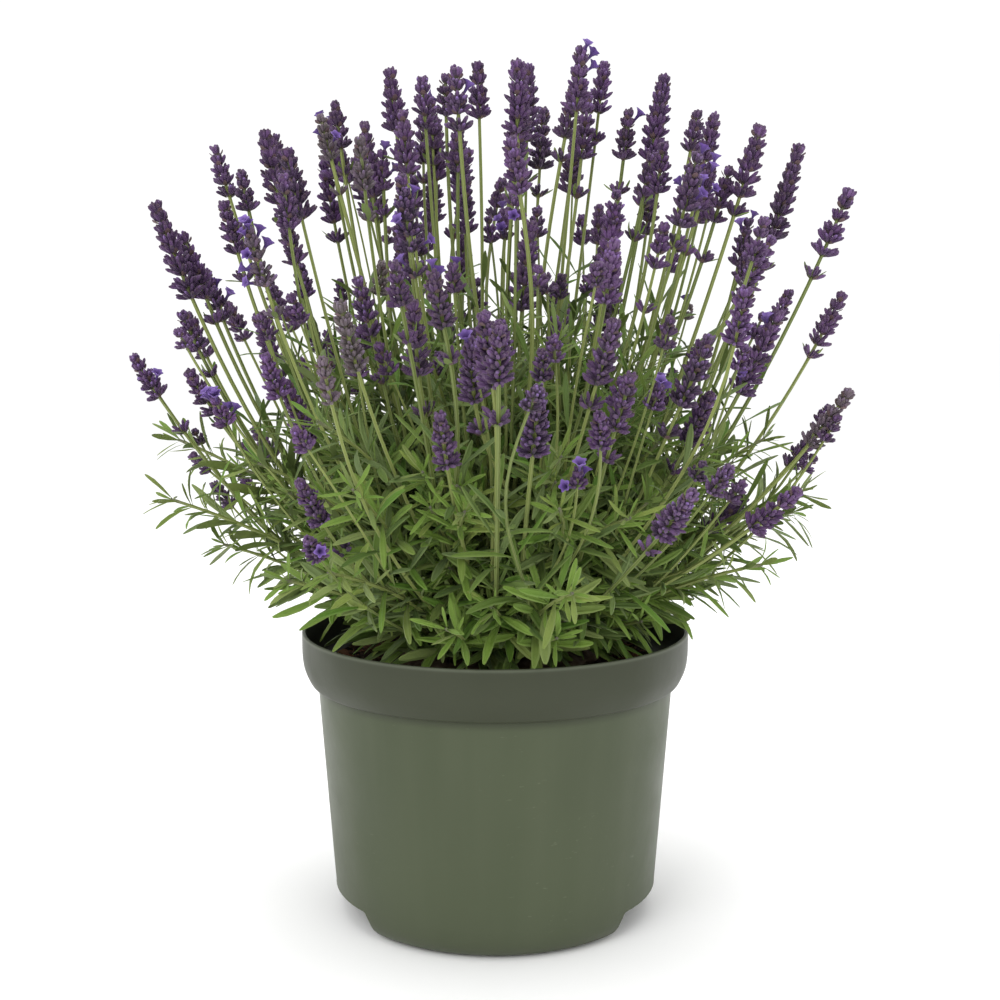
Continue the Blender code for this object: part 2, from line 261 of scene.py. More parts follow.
# %% Leaf green
def leaf_finish():
    """Greens by tone, mottled, some blades vivid and some under grey felt, with pale margins."""
    finish = Finish("leaf_green", 0.58, 0.22, 0.05)
    tone, _, margin, _ = finish.mark()
    green = finish.ramp(tone, [(0.0, (0.022, 0.044, 0.006)), (0.35, (0.060, 0.110, 0.013)),
                               (0.65, (0.115, 0.180, 0.024)), (1.0, (0.230, 0.290, 0.058))])
    mottle = finish.sums("MULTIPLY", finish.noise(260, 3), 0.6)
    green = finish.mix(mottle, green, (0.052, 0.098, 0.011))
    chance = finish.sums("FRACT", finish.sums("MULTIPLY", tone, 17.0, clamp=False), 0.0)
    vivid = finish.ramp(chance, [(0.10, (0.55, 0.55, 0.55)), (0.22, NONE)])
    green = finish.mix(vivid, green, (0.080, 0.190, 0.012))
    felt = finish.ramp(chance, [(0.45, NONE), (0.95, (0.42, 0.42, 0.42))])
    green = finish.mix(felt, green, (0.150, 0.190, 0.090))
    pale = finish.sums("MULTIPLY", finish.sums("POWER", margin, 1.8), 0.36)
    green = finish.mix(pale, green, (0.24, 0.29, 0.10))
    finish.colour(green)
    finish.relief(finish.noise(900, 3), 0.35, 0.0004)
    return finish.material


leaf_green = leaf_finish()

# %% [markdown]
# A stem is square. Its four ridges are paler than its flat sides, it turns woody brown near the
# soil, and it often flushes violet close under the flowers.

# %% Stem green
def stem_finish():
    """Green with pale ridges, brown for the lowest tenth and violet just under the spike."""
    finish = Finish("stem_green", 0.5, 0.28, 0.04)
    tone, along, ridge, _ = finish.mark()
    green = finish.ramp(tone, [(0.0, (0.085, 0.125, 0.018)), (1.0, (0.185, 0.225, 0.050))])
    green = finish.mix(finish.sums("MULTIPLY", ridge, 0.45), green, (0.31, 0.34, 0.14))
    brown = finish.ramp(along, [(0.0, ALL), (0.10, NONE)])
    green = finish.mix(brown, green, (0.10, 0.070, 0.035))
    flush = finish.ramp(along, [(0.93, NONE), (1.0, (0.5, 0.5, 0.5))])
    finish.colour(finish.mix(flush, green, (0.10, 0.060, 0.13)))
    finish.relief(finish.noise(700, 2, (1, 1, 0.15)), 0.3, 0.0003)
    return finish.material


stem_green = stem_finish()

# %% [markdown]
# A calyx is a ribbed cup under a violet felt. It is greenish grey where it joins the stem and violet
# above, with specks where the felt catches the light. A bud or a spent flower shows at its mouth: the
# bud mark says how bright it is. The last mark is high on a young spike that is still grey-green.

# %% Calyx violet, bract brown and petal violet
def calyx_finish():
    """Violet by tone, felt specks as painted highlights, a greenish foot and the bud's colour at the mouth.
    """
    finish = Finish("calyx_violet", 0.62, 0.22, 0.10)
    tone, along, bud, young = finish.mark()
    violet = finish.ramp(tone, [(0.0, (0.020, 0.007, 0.032)), (0.5, (0.064, 0.022, 0.094)),
                                (1.0, (0.150, 0.068, 0.205))])
    # Pale specks: the felt's hairs, painted as highlights where they catch the light.
    specks = finish.ramp(finish.noise(1500, 2), [(0.50, NONE), (0.70, (0.46, 0.46, 0.46))])
    violet = finish.mix(specks, violet, (0.220, 0.150, 0.260))
    foot = finish.ramp(along, [(0.0, (0.8, 0.8, 0.8)), (0.30, NONE)])
    violet = finish.mix(foot, violet, (0.120, 0.110, 0.055))
    flower = finish.ramp(bud, [(0.0, (0.060, 0.032, 0.050)), (0.50, (0.135, 0.075, 0.180)),
                               (1.0, (0.240, 0.140, 0.430))])
    mouth = finish.ramp(along, [(0.76, NONE), (1.0, (0.85, 0.85, 0.85))])
    violet = finish.mix(mouth, violet, flower)
    finish.colour(finish.mix(finish.sums("MULTIPLY", young, 0.7), violet, (0.16, 0.15, 0.10)))
    finish.relief(finish.noise(1400, 2), 0.5, 0.0003)
    return finish.material


def bract_finish():
    """Papery brown that turns violet towards the bract's tip."""
    finish = Finish("bract_brown", 0.7, 0.2, 0.05)
    tone, along, _, _ = finish.mark()
    brown = finish.ramp(tone, [(0.0, (0.095, 0.070, 0.045)), (1.0, (0.190, 0.130, 0.105))])
    finish.colour(finish.mix(finish.sums("MULTIPLY", along, 0.8), brown, (0.095, 0.045, 0.090)))
    return finish.material


def petal_finish():
    """Bright violet lobes around a dark throat."""
    finish = Finish("petal_violet", 0.5, 0.25, 0.1)
    tone, _, lobe, _ = finish.mark()
    violet = finish.ramp(tone, [(0.0, (0.120, 0.058, 0.270)), (1.0, (0.205, 0.120, 0.400))])
    throat = finish.ramp(lobe, [(0.15, ALL), (0.85, NONE)])
    finish.colour(finish.mix(throat, violet, (0.040, 0.015, 0.100)))
    return finish.material


calyx_violet = calyx_finish()
bract_brown = bract_finish()
petal_violet = petal_finish()

# %% [markdown]
# ## Pot
#
# A nursery pot is injection moulded in one shot, so its wall is about 2 mm thick everywhere: the band
# at the rim steps out and the floor is raised on a skirt. The section is drawn once and turned round
# the axis. Two gaps at the sides leave two feet. In a gap, the skirt's part of the section shrinks up
# to the wall's lower edge, and the two sections are blended over a few degrees, which rounds the
# ends of the feet as a moulding's are.

# %% Draw the section with rounded corners
def round_off(corners, steps=5):
    """Replaces each (across, up, radius) corner by a quadratic curve that starts and ends radius away."""
    points = np.array([corner[:2] for corner in corners])
    line = [points[:1]]
    for before, (x, z, radius), after in zip(points[:-2], corners[1:-1], points[2:]):
        middle = np.array([x, z])
        reach_in = min(radius, 0.48 * np.linalg.norm(before - middle))
        reach_out = min(radius, 0.48 * np.linalg.norm(after - middle))
        start = middle + unit(before - middle) * reach_in
        end = middle + unit(after - middle) * reach_out
        t = np.linspace(0, 1, steps)[:, None]
        line.append((1 - t) ** 2 * start + 2 * t * (1 - t) * middle + t**2 * end)
    return np.concatenate([*line, points[-1:]])


_, pot_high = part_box("nursery_pot")
rim_radius = pot_high[0]
rim_top = pot_high[2]
wall = 0.0018
band_bottom = rim_top - 0.0255
band_bottom_radius = rim_radius - 0.0045
body_top_radius = rim_radius - 0.0076
body_low_radius = rim_radius - 0.0152
skirt_top = 0.0142
floor_under = 0.0140
gap_top = 0.0124


def pot_section(on_foot):
    """The wall's section from the middle of the floor's underside, round the rim, to the floor's top."""
    edge = body_low_radius
    if on_foot:
        skirt = [(edge - wall - 0.0012, 0.0074, 0.002), (edge - 0.0058, 0.0034, 0.002), (0.0705, wall, 0.002),
                 (0.0655, wall, 0.0006), (0.0655, 0.0, 0.0006), (0.0705, 0.0, 0.003),
                 (edge - 0.0046, 0.0019, 0.003), (edge - 0.0012, 0.0068, 0.003)]
    else:
        lip = np.linspace(wall, 0, 8)
        skirt = [(edge - inset, gap_top + 0.0004 * (2 * inset / wall - 1) ** 2, 0.0002) for inset in lip]
    return round_off([
        (0.0006, floor_under, 0), (edge - wall, floor_under, 0.0006), *skirt,
        (edge, skirt_top, 0.0008), (body_top_radius, band_bottom, 0.0010),
        (band_bottom_radius, band_bottom, 0.0022), (rim_radius - 0.0010, rim_top - 0.0185, 0.006),
        (rim_radius, rim_top - 0.0120, 0.004), (rim_radius, rim_top, 0.0008),
        (rim_radius - wall, rim_top, 0.0008), (rim_radius - wall, rim_top - 0.0120, 0.004),
        (rim_radius - wall - 0.0014, rim_top - 0.0190, 0.005),
        (band_bottom_radius - wall, band_bottom + 0.0029, 0.002),
        (body_top_radius - wall, band_bottom + wall, 0.002),
        (edge - wall, floor_under + 0.0060, 0.002), (edge - 0.0070, floor_under + wall, 0.003),
        (0.0006, floor_under + wall, 0),
    ])


# %% Turn it, with its feet at the front and the back
POT_SIDES = 384
FOOT_STARTS, FOOT_IS_WHOLE = 39.0, 41.6
SHARP_CORNER = 40


def smooth_step(value, start, end):
    """0 below start, 1 above end and an S-shaped rise between them."""
    t = np.clip((value - start) / (end - start), 0, 1)
    return t * t * (3 - 2 * t)


def make_pot():
    """Each turn's section is the foot's and the gap's, mixed by how many degrees it is from the X axis."""
    turn = np.arange(POT_SIDES) * math.tau / POT_SIDES
    from_x_axis = np.degrees(np.abs(np.arcsin(np.sin(turn))))
    foot = smooth_step(from_x_axis, FOOT_STARTS, FOOT_IS_WHOLE)[None, :, None]
    section = foot * pot_section(True)[:, None] + (1 - foot) * pot_section(False)[:, None]
    across, up = section[..., 0], section[..., 1]
    points = np.stack([across * np.cos(turn), across * np.sin(turn), up], -1)[None]
    tube = wrap(points, marks_of(points.shape[:3]))
    return make_piece("nursery_pot_moulding", [tube], [pot_plastic], SHARP_CORNER)


def drill_floor(pot, holes=5, sides=28, ring=0.054, radius=0.0055, overrun=0.004):
    """Cuts the drain holes: one cutter of upright tubes on a ring, taken away from the pot's mesh.

    The corners it leaves are marked sharp again, so that the flat floor is not shaded round them.
    """
    middle = (np.arange(holes) + 0.5)[:, None, None] * math.tau / holes
    cosine, sine = ring_turns(sides)
    x = ring * np.cos(middle) + radius * cosine + np.zeros((1, 2, 1))
    y = ring * np.sin(middle) + radius * sine + np.zeros((1, 2, 1))
    z = np.array([floor_under - overrun, floor_under + wall + overrun])[None, :, None] + np.zeros_like(x)
    points = np.stack([x, y, z], -1)
    cutter = make_piece("drain_cutter", [wrap(points, marks_of(points.shape[:3]))], [pot_plastic])
    cut = pot.modifiers.new("drain_holes", "BOOLEAN")
    cut.operation, cut.solver, cut.object = "DIFFERENCE", "EXACT", cutter
    whole = pot.data
    graph = bpy.context.evaluated_depsgraph_get()
    drilled = bpy.data.meshes.new_from_object(pot.evaluated_get(graph), preserve_all_data_layers=True,
                                              depsgraph=graph)
    drilled.set_sharp_from_angle(angle=math.radians(SHARP_CORNER))
    pot.modifiers.clear()
    pot.data = drilled
    for spare in (cutter.data, whole):
        bpy.data.meshes.remove(spare)


def pot_finish():
    """Olive green with soft flow clouds, faint upright streaks and pale scuffs.

    By height: a dusty foot, a rim band darkened by painted shade, and a painted highlight on the rim's edge.
    """
    finish = Finish("pot_plastic", 0.42, 0.29)
    clouds = finish.noise(9, 3)
    green = finish.ramp(clouds, [(0.30, (0.050, 0.063, 0.031)), (0.70, (0.063, 0.078, 0.041))])
    streaks = finish.noise(60, 2, (1, 1, 0.04))
    streaks = finish.ramp(streaks, [(0.35, NONE), (0.75, (0.30, 0.30, 0.30))])
    green = finish.mix(streaks, green, (0.082, 0.095, 0.056))
    scuffs = finish.noise(420, 5, (0.5, 0.5, 1.6))
    scuffs = finish.ramp(scuffs, [(0.66, NONE), (0.74, (0.40, 0.40, 0.40))])
    where = finish.ramp(finish.noise(16, 1), [(0.52, NONE), (0.68, ALL)])
    green = finish.mix(finish.mix(1.0, scuffs, where, "MULTIPLY"), green, (0.17, 0.19, 0.13))
    split = finish.nodes.new("ShaderNodeSeparateXYZ")
    finish.links.new(finish.place, split.inputs[0])
    stretch = 5.0
    height = finish.sums("MULTIPLY", split.outputs["Z"], stretch)
    dusty = finish.ramp(height, [(0.02, (0.35, 0.35, 0.35)), (0.14, NONE)])
    green = finish.mix(dusty, green, (0.054, 0.063, 0.037))
    # The rim band is darker: a little of it is the band's own tone, most of it is painted shade from the
    # leaves above.
    band = finish.ramp(height, [(0.550, NONE), (0.575, (0.90, 0.90, 0.90))])
    green = finish.mix(band, green, (0.031, 0.036, 0.019))
    # A paler line along the rim's top edge is a painted highlight.
    top = stretch * rim_top
    edge = finish.ramp(height, [(top - 0.009, NONE), (top - 0.004, (0.5, 0.5, 0.5))])
    finish.colour(finish.mix(edge, green, (0.120, 0.135, 0.095)))
    rough = finish.ramp(finish.noise(35, 4), [(0.3, (0.38, 0.38, 0.38)), (0.7, (0.52, 0.52, 0.52))])
    finish.links.new(rough, finish.shader.inputs["Roughness"])
    finish.relief(finish.noise(240, 3), 0.12, 0.0004)
    return finish.material


pot_plastic = pot_finish()
pot = make_pot()
drill_floor(pot)
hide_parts("nursery_pot")
print("pot faces:", len(pot.data.polygons))

# %% [markdown]
# ## Potting soil
#
# The compost is ground peat and bark. From a distance it is a dark crumbly surface, so its top is a
# disc whose height is a sum of waves in many directions. Crumbs and fibres that lie loose on it are
# separate small shapes.

# %% Crumbly soil
soil_low, soil_high = (np.array(corner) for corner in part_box("potting_soil"))


def lumps(x, y, seed, sizes, depth):
    """A sum of waves of random direction. sizes are their lengths, and depth is the sum's rough height."""
    rng = np.random.default_rng(seed)
    turn, phase = rng.uniform(0, math.tau, (2, len(sizes)))
    wave = math.tau / np.asarray(sizes)
    inside = x[..., None] * np.cos(turn) * wave + y[..., None] * np.sin(turn) * wave + phase
    return np.sin(inside).sum(-1) * depth / math.sqrt(len(sizes))


def make_soil(sides=160):
    """Rings from the middle of the bottom, up the side, and over the top to its middle."""
    reach = soil_high[0]
    top = soil_high[2] - 0.0012
    low_reach = body_low_radius - wall - 0.0016
    over = np.linspace(reach - 0.0006, 0.0006, 70)
    across = np.concatenate([[0.0006, low_reach - 0.006, low_reach, reach - 0.0006], over])
    up = np.concatenate([[soil_low[2]] * 2, [soil_low[2] + 0.005, top - 0.004], np.full(len(over), top)])
    turn = np.arange(sides) * math.tau / sides
    x, y = across[:, None] * np.cos(turn), across[:, None] * np.sin(turn)
    z = np.repeat(up[:, None], sides, 1)
    sizes = np.random.default_rng(3).uniform(0.003, 0.02, 60)
    grain = np.random.default_rng(4).normal(0, 0.00025, x.shape)
    z[5:] += np.clip(lumps(x, y, 5, sizes, 0.0011)[5:] + grain[5:], -0.0022, 0.0022)
    points = np.stack([x, y, z], -1)[None]
    return make_piece("compost", [wrap(points, marks_of(points.shape[:3]))], [potting_mix], 180)


def soil_finish():
    """Near-black to brown grain with patches of redder bark."""
    finish = Finish("potting_mix", 0.95, 0.2)
    dark = finish.ramp(finish.noise(330, 6), [(0.30, (0.008, 0.005, 0.004)), (0.52, (0.028, 0.017, 0.011)),
                                              (0.70, (0.075, 0.042, 0.024))])
    bark = finish.ramp(finish.noise(120, 2), [(0.60, NONE), (0.72, (0.7, 0.7, 0.7))])
    finish.colour(finish.mix(bark, dark, (0.085, 0.038, 0.020)))
    finish.relief(finish.noise(500, 6), 0.8, 0.0012)
    return finish.material


def crumb_finish():
    """One brown per crumb, by its tone. The palest are fibres."""
    finish = Finish("soil_crumbs", 0.95, 0.2)
    tone = finish.mark()[0]
    brown = finish.ramp(tone, [(0.0, (0.012, 0.008, 0.006)), (0.55, (0.040, 0.022, 0.014)),
                               (0.85, (0.110, 0.048, 0.026)), (1.0, (0.19, 0.105, 0.055))])
    finish.colour(brown)
    finish.relief(finish.noise(900, 4), 0.6, 0.0006)
    return finish.material


potting_mix = soil_finish()
soil_crumbs = crumb_finish()
soil = make_soil()
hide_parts("potting_soil")


# %% Crumbs and fibres
def make_crumbs(count=620, rings=5, sides=6):
    """Each crumb is a squashed ball: its rings' radius is the sine of their angle, made uneven."""
    rng = np.random.default_rng(11)
    far = np.sqrt(rng.uniform(0.045**2, (soil_high[0] - 0.003) ** 2, count))
    turn = rng.uniform(0, math.tau, count)
    middle = np.stack([far * np.cos(turn), far * np.sin(turn), np.full(count, soil_high[2] - 0.0004)], 1)
    size = rng.gamma(3.0, 0.00042, (count, 1, 1)) + 0.0004
    angle = np.linspace(0.18, math.pi - 0.18, rings)[:, None]
    across, along = ring_turns(sides)
    ball = np.stack([np.sin(angle) * across, np.sin(angle) * along, -np.cos(angle) * np.ones(sides)], -1)
    uneven = 1 + rng.normal(0, 0.16, (count, rings, sides, 1))
    flat = np.stack([rng.uniform(*span, count) for span in ((0.8, 1.5), (0.7, 1.1), (0.5, 0.9))], 1)
    points = middle[:, None, None] + ball[None] * uneven * flat[:, None, None] * size[..., None]
    tone = rng.uniform(0, 1, (count, 1, 1))
    return wrap(points, marks_of(points.shape[:3], tone))


def make_fibres(count=90, rings=7, sides=5):
    """Each fibre is a thin tube along a gentle arc that lies on the soil, its ends raised a little."""
    rng = np.random.default_rng(12)
    far = np.sqrt(rng.uniform(0.052**2, (soil_high[0] - 0.010) ** 2, count))
    turn, heading = rng.uniform(0, math.tau, (2, count))
    length = rng.uniform(0.006, 0.016, count)
    t = np.linspace(-0.5, 0.5, rings)
    bow = rng.uniform(-0.25, 0.25, count)
    ahead = np.stack([np.cos(heading), np.sin(heading), np.zeros(count)], 1)
    aside = np.stack([-np.sin(heading), np.cos(heading), np.zeros(count)], 1)
    middle = np.stack([far * np.cos(turn), far * np.sin(turn), np.full(count, soil_high[2] + 0.0002)], 1)
    line = middle[:, None] + length[:, None, None] * (
        t[None, :, None] * ahead[:, None] + (bow[:, None] * (t**2)[None])[..., None] * aside[:, None])
    line[..., 2] += length[:, None] * 0.5 * t[None] ** 2
    thick = rng.uniform(0.0002, 0.0005, count)[:, None] * (1 - 1.6 * t**2)[None]
    cosine, sine = ring_turns(sides)
    up = np.array([0.0, 0.0, 1.0])
    spread = cosine[None, None, :, None] * aside[:, None, None] + sine[None, None, :, None] * up
    points = line[:, :, None] + thick[..., None, None] * spread
    tone = rng.uniform(0.6, 1, (count, 1, 1))
    return wrap(points, marks_of(points.shape[:3], tone))


litter = make_piece("compost_crumbs", [make_crumbs(), make_fibres()], [soil_crumbs])
print("crumbs and fibres:", len(litter.data.polygons), "faces")

# %% [markdown]
# ## Old wood
#
# Under the leaves, a lavender is a small shrub. Its oldest wood is a low knotty crown, grey-brown and
# flaky, that the green stems grow out of. It is a disc with lobes and knuckles.

# %% The knotty crown
crown_low, crown_high = (np.array(corner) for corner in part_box("woody_crown"))


def make_crown(sides=140):
    """A low dome: the height falls off with the fourth power of the distance, with lumps of two sizes."""
    reach = crown_high[0] * 0.97
    out = np.concatenate([[0.01], np.linspace(0.3, 1, 6), np.linspace(1, 0.01, 46)])
    under = np.arange(len(out)) < 7
    turn = np.arange(sides) * math.tau / sides
    lobes = 1 + 0.06 * np.cos(7 * turn) + 0.03 * np.sin(11 * turn + 1.0)
    x = reach * out[:, None] * lobes * np.cos(turn) * 0.93
    y = reach * out[:, None] * lobes * np.sin(turn) * 0.93
    thick = crown_high[2] - crown_low[2]
    dome = crown_low[2] + thick * (1 - 0.8 * out[:, None] ** 4) * np.ones(sides)
    dome += lumps(x, y, 21, np.linspace(0.007, 0.02, 24), 0.0011) * (1 - out[:, None] ** 6)
    z = np.where(under[:, None], crown_low[2], np.clip(dome, crown_low[2] + 0.0004, crown_high[2] + 0.001))
    points = np.stack([x, y, z], -1)[None]
    return make_piece("old_wood_crown", [wrap(points, marks_of(points.shape[:3]))], [old_wood], 180)


def wood_finish():
    """Grey-brown flakes, drawn out along the height."""
    finish = Finish("old_wood", 0.85, 0.2)
    upright = (1, 1, 0.4)
    browns = [(0.3, (0.030, 0.020, 0.012)), (0.55, (0.110, 0.078, 0.048)), (0.8, (0.215, 0.175, 0.125))]
    finish.colour(finish.ramp(finish.noise(150, 5, upright), browns))
    finish.relief(finish.noise(260, 5, upright), 0.8, 0.0010)
    return finish.material


old_wood = wood_finish()
crown = make_crown()
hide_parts("woody_crown")

# %% [markdown]
# ## Where each stalk stands
#
# The solid model holds a plain solid for each of the main stalks and shoots. A stalk's foot is its
# lowest ring and its tip is its farthest one, so both are read from the solid, and the curve between
# them is the same parabola that the solid follows. That keeps the detailed plant on the solid one.

# %% Read foot, tip and head length from a solid
def corners_of(node):
    """All corners of a node's mesh, as an array."""
    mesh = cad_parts[node].data
    found = np.empty(len(mesh.vertices) * 3, np.float32)
    mesh.vertices.foreach_get("co", found)
    return found.reshape(-1, 3).astype(float)


def parabola(foot, knee, tip, count=90):
    """Points that leave foot towards knee and arrive at tip from it."""
    t = np.linspace(0, 1, count)[:, None]
    return (1 - t) ** 2 * foot + 2 * t * (1 - t) * knee + t**2 * tip


def stalk_path(foot, tip):
    """A stalk splays out low down and rises towards its tip."""
    return parabola(foot, foot + (tip - foot) * np.array([0.62, 0.62, 0.38]), tip)


def shoot_path(foot, reach, rise):
    """A shoot leaves its foot steeply and arches outwards, straight away from the pot's axis."""
    out = unit(foot * np.array([1.0, 1.0, 0.0]))
    up = np.array([0.0, 0.0, 1.0])
    return parabola(foot, foot + out * reach * 0.25 + up * rise * 0.62, foot + out * reach + up * rise)


def run_of(path):
    """The distance along a path at each of its points."""
    return np.concatenate([[0], np.cumsum(np.linalg.norm(np.diff(path, axis=0), axis=1))])


def read_stalk(node):
    """Foot, tip and head length. The head is where the solid is more than 3 mm from its curve."""
    corners = corners_of(node)
    foot = corners[corners[:, 2] < corners[:, 2].min() + 0.0002].mean(0)
    far = corners[np.argmax(np.linalg.norm(corners - foot, axis=1))]
    tip = corners[np.linalg.norm(corners - far, axis=1) < 0.0034].mean(0)
    path = stalk_path(foot, tip)
    apart = np.linalg.norm(corners[:, None] - path[None], axis=2)
    run = run_of(path)
    starts = run[apart.argmin(1)[apart.min(1) > 0.003]].min()
    return foot, tip, (run[-1] - starts) / 0.97


stalk_nodes = sorted(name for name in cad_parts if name.startswith("flower_stalk"))
shoot_nodes = sorted(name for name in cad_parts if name.startswith("leafy_shoot"))
main_stalks = [read_stalk(node) for node in stalk_nodes]
print("stalks read:", len(main_stalks), "head lengths, mm:", [round(1000 * s[2]) for s in main_stalks[:8]])

# %% [markdown]
# ## Leaf
#
# A lavender leaf is a narrow blade, widest beyond its middle and blunt, with a groove along its midrib
# and margins rolled down. Here it is a flat tube with five corners to a ring: two margins, a shoulder
# on each side of the groove, and the groove. The underside is the flat face between the margins.

# %% Leaves as flat tubes
LEAF_SECTION = np.array([(1.0, -0.22), (0.55, 0.14), (0.0, -0.09), (-0.55, 0.14), (-1.0, -0.22)])
LEAF_MARGIN = np.array([1.0, 0.0, 0.30, 0.0, 1.0])


def leaf_points(base, out, up, length, width, rise, droop, twist, bow, stations=6):
    """Blades whose slope goes from rise at the base to rise + droop at the tip.

    With u the share of the length, the half-width is the sine of half a turn times u to the power
    1.5, all to the power 0.5: narrow at the base, widest at 0.63 and blunt at the tip. Each ring is
    the section above, turned by twist times u, and the blade bows sideways with u squared.
    """
    t = np.linspace(0, 1, stations)
    u = np.sin(t * math.pi / 2)
    slope = rise[:, None] + droop[:, None] * u
    ahead = np.cos(slope)[..., None] * out[:, None] + np.sin(slope)[..., None] * up[:, None]
    normal = -np.sin(slope)[..., None] * out[:, None] + np.cos(slope)[..., None] * up[:, None]
    side = np.cross(up, out)[:, None] * np.ones_like(ahead)
    steps = np.diff(u)[None, :, None] * 0.5 * (ahead[:, 1:] + ahead[:, :-1]) * length[:, None, None]
    line = base[:, None] + np.concatenate([np.zeros_like(steps[:, :1]), np.cumsum(steps, 1)], 1)
    line = line + side * (bow * length)[:, None, None] * (u**2)[None, :, None]
    turn = twist[:, None, None] * u[None, :, None]
    wide = side * np.cos(turn) + normal * np.sin(turn)
    thick = normal * np.cos(turn) - side * np.sin(turn)
    half = 0.5 * np.maximum(np.sin(math.pi * np.clip(u**1.5, 0.0, 0.985)) ** 0.5, 0.16 * (1 - u))
    size = half[None, :, None, None] * width[:, None, None, None]
    section = LEAF_SECTION[:, :1] * wide[:, :, None] + LEAF_SECTION[:, 1:] * thick[:, :, None]
    return line[:, :, None] + size * section


def leaf_part(points, tone, slot=0):
    """Wraps blades and marks their tone, the distance along them and their margins."""
    copies, stations, sides, _ = points.shape
    along = np.linspace(0, 1, stations)[None, :, None]
    marks = marks_of((copies, stations, sides), tone[:, None, None], along, LEAF_MARGIN)
    return wrap(points, marks, slot)


CLEAR_INSIDE, CLEAR_OUTSIDE = 0.0035, 0.0012
CLEAR_OF_RIM, CLEAR_OF_SOIL = 0.0008, 0.0006


def clear_of_pot(points):
    """True for each blade that stays out of the pot's wall and above the soil."""
    across = np.hypot(points[..., 0], points[..., 1])
    at_wall = (across > rim_radius - CLEAR_INSIDE) & (across < rim_radius + CLEAR_OUTSIDE)
    in_wall = at_wall & (points[..., 2] < rim_top + CLEAR_OF_RIM)
    in_soil = (across < rim_radius) & (points[..., 2] < soil_high[2] + CLEAR_OF_SOIL)
    return ~(in_wall | in_soil).any((1, 2))


# %% [markdown]
# ## Stem
#
# The mint family has square stems. A stem is a tube with eight corners, every second one pushed out
# into a ridge, and it swells a little where a pair of leaves grows. Its path lies in one upright plane,
# so the plane's own normal gives every ring one side, and no ring is twisted against the next.

# %% Stems as square tubes
def stem_part(path, radius_low, radius_high, joints=(), tone=0.5, rings=18, end=None, slot=0):
    """A square tube along a path, swollen by a fifth within 1.5 mm of each joint."""
    run = run_of(path)
    end = run[-1] if end is None else end
    stops = np.linspace(0, end, rings)
    if len(joints):
        near = (np.asarray(joints)[:, None] + np.array([-0.0016, 0.0, 0.0016])).ravel()
        stops = np.unique(np.concatenate([stops, near[(near > 0) & (near < end)]]))
    line = np.stack([np.interp(stops, run, path[:, k]) for k in range(3)], 1)
    ahead = unit(np.gradient(line, stops, axis=0))
    lean = path[-1] - path[0]
    side = unit(np.array([-lean[1], lean[0], 1e-9]))
    side = unit(side - ahead * (ahead @ side)[:, None])
    other = np.cross(ahead, side)
    radius = np.interp(stops, [0, end], [radius_low, radius_high])
    for joint in joints:
        radius = radius * (1 + 0.22 * np.exp(-(((stops - joint) / 0.0012) ** 2)))
    cosine, sine = ring_turns(8)
    ridge = 1 + 0.13 * np.array([1, -1] * 4)
    points = line[:, None] + radius[:, None, None] * ridge[:, None] * (
        cosine[:, None] * side[:, None] + sine[:, None] * other[:, None])
    along = (stops / run[-1])[:, None]
    marks = marks_of(points.shape[:2], tone, along, np.array([1.0, 0.0] * 4), 0.0)
    return wrap(points[None], marks[None], slot)


def along_path(path, distances):
    """Places and directions at given distances along a path."""
    run = run_of(path)
    place = np.stack([np.interp(distances, run, path[:, k]) for k in range(3)], 1)
    ahead = np.gradient(path, run, axis=0)
    return place, unit(np.stack([np.interp(distances, run, ahead[:, k]) for k in range(3)], 1))


def around(ahead, turns):
    """Directions square to ahead, at the given turns about it."""
    first = unit(np.cross(ahead, np.array([0.31, 0.95, 0.02])))
    second = np.cross(ahead, first)
    return np.cos(turns)[:, None] * first + np.sin(turns)[:, None] * second


# %% [markdown]
# ## Spike
#
# A lavender spike is a stack of whorls. A whorl has two opposite fans of calyces, each fan above a
# papery bract, and the next whorl is a quarter turn round. A calyx is a small fat tube that leans far
# out at the bottom of the spike and stands up near its top, so the spike tapers. It ends in a bud.

# %% Calyces as small tubes
CALYX_ALONG = np.array([0.0, 0.34, 0.82, 1.0])
CALYX_RADIUS = np.array([0.34, 0.97, 0.92, 0.38])


def calyx_part(base, ahead, axis, length, width, tone, bud, young, slot=0, sides=5):
    """Tubes with the profile above that curve a little towards the spike's axis."""
    u = CALYX_ALONG[None, :, None]
    curve = u * ahead[:, None] + 0.06 * u**2 * (axis - ahead)[:, None]
    line = base[:, None] + length[:, None, None] * curve
    side = unit(np.cross(axis, ahead) + 1e-6)
    over = np.cross(ahead, side)
    cosine, sine = ring_turns(sides)
    radius = 0.5 * width[:, None, None] * CALYX_RADIUS[None, :, None]
    spread = cosine[:, None] * side[:, None, None] + sine[:, None] * over[:, None, None]
    points = line[:, :, None] + radius[..., None] * spread
    along = CALYX_ALONG[None, :, None]
    marks = marks_of(points.shape[:3], tone[:, None, None], along, bud[:, None, None], young)
    return wrap(points, marks, slot)


PETAL_ALONG = np.array([0.0, 0.50, 0.78, 0.98, 1.0, 0.74, 0.40])
PETAL_RADIUS = np.array([0.20, 0.30, 0.62, 1.0, 0.92, 0.46, 0.14])


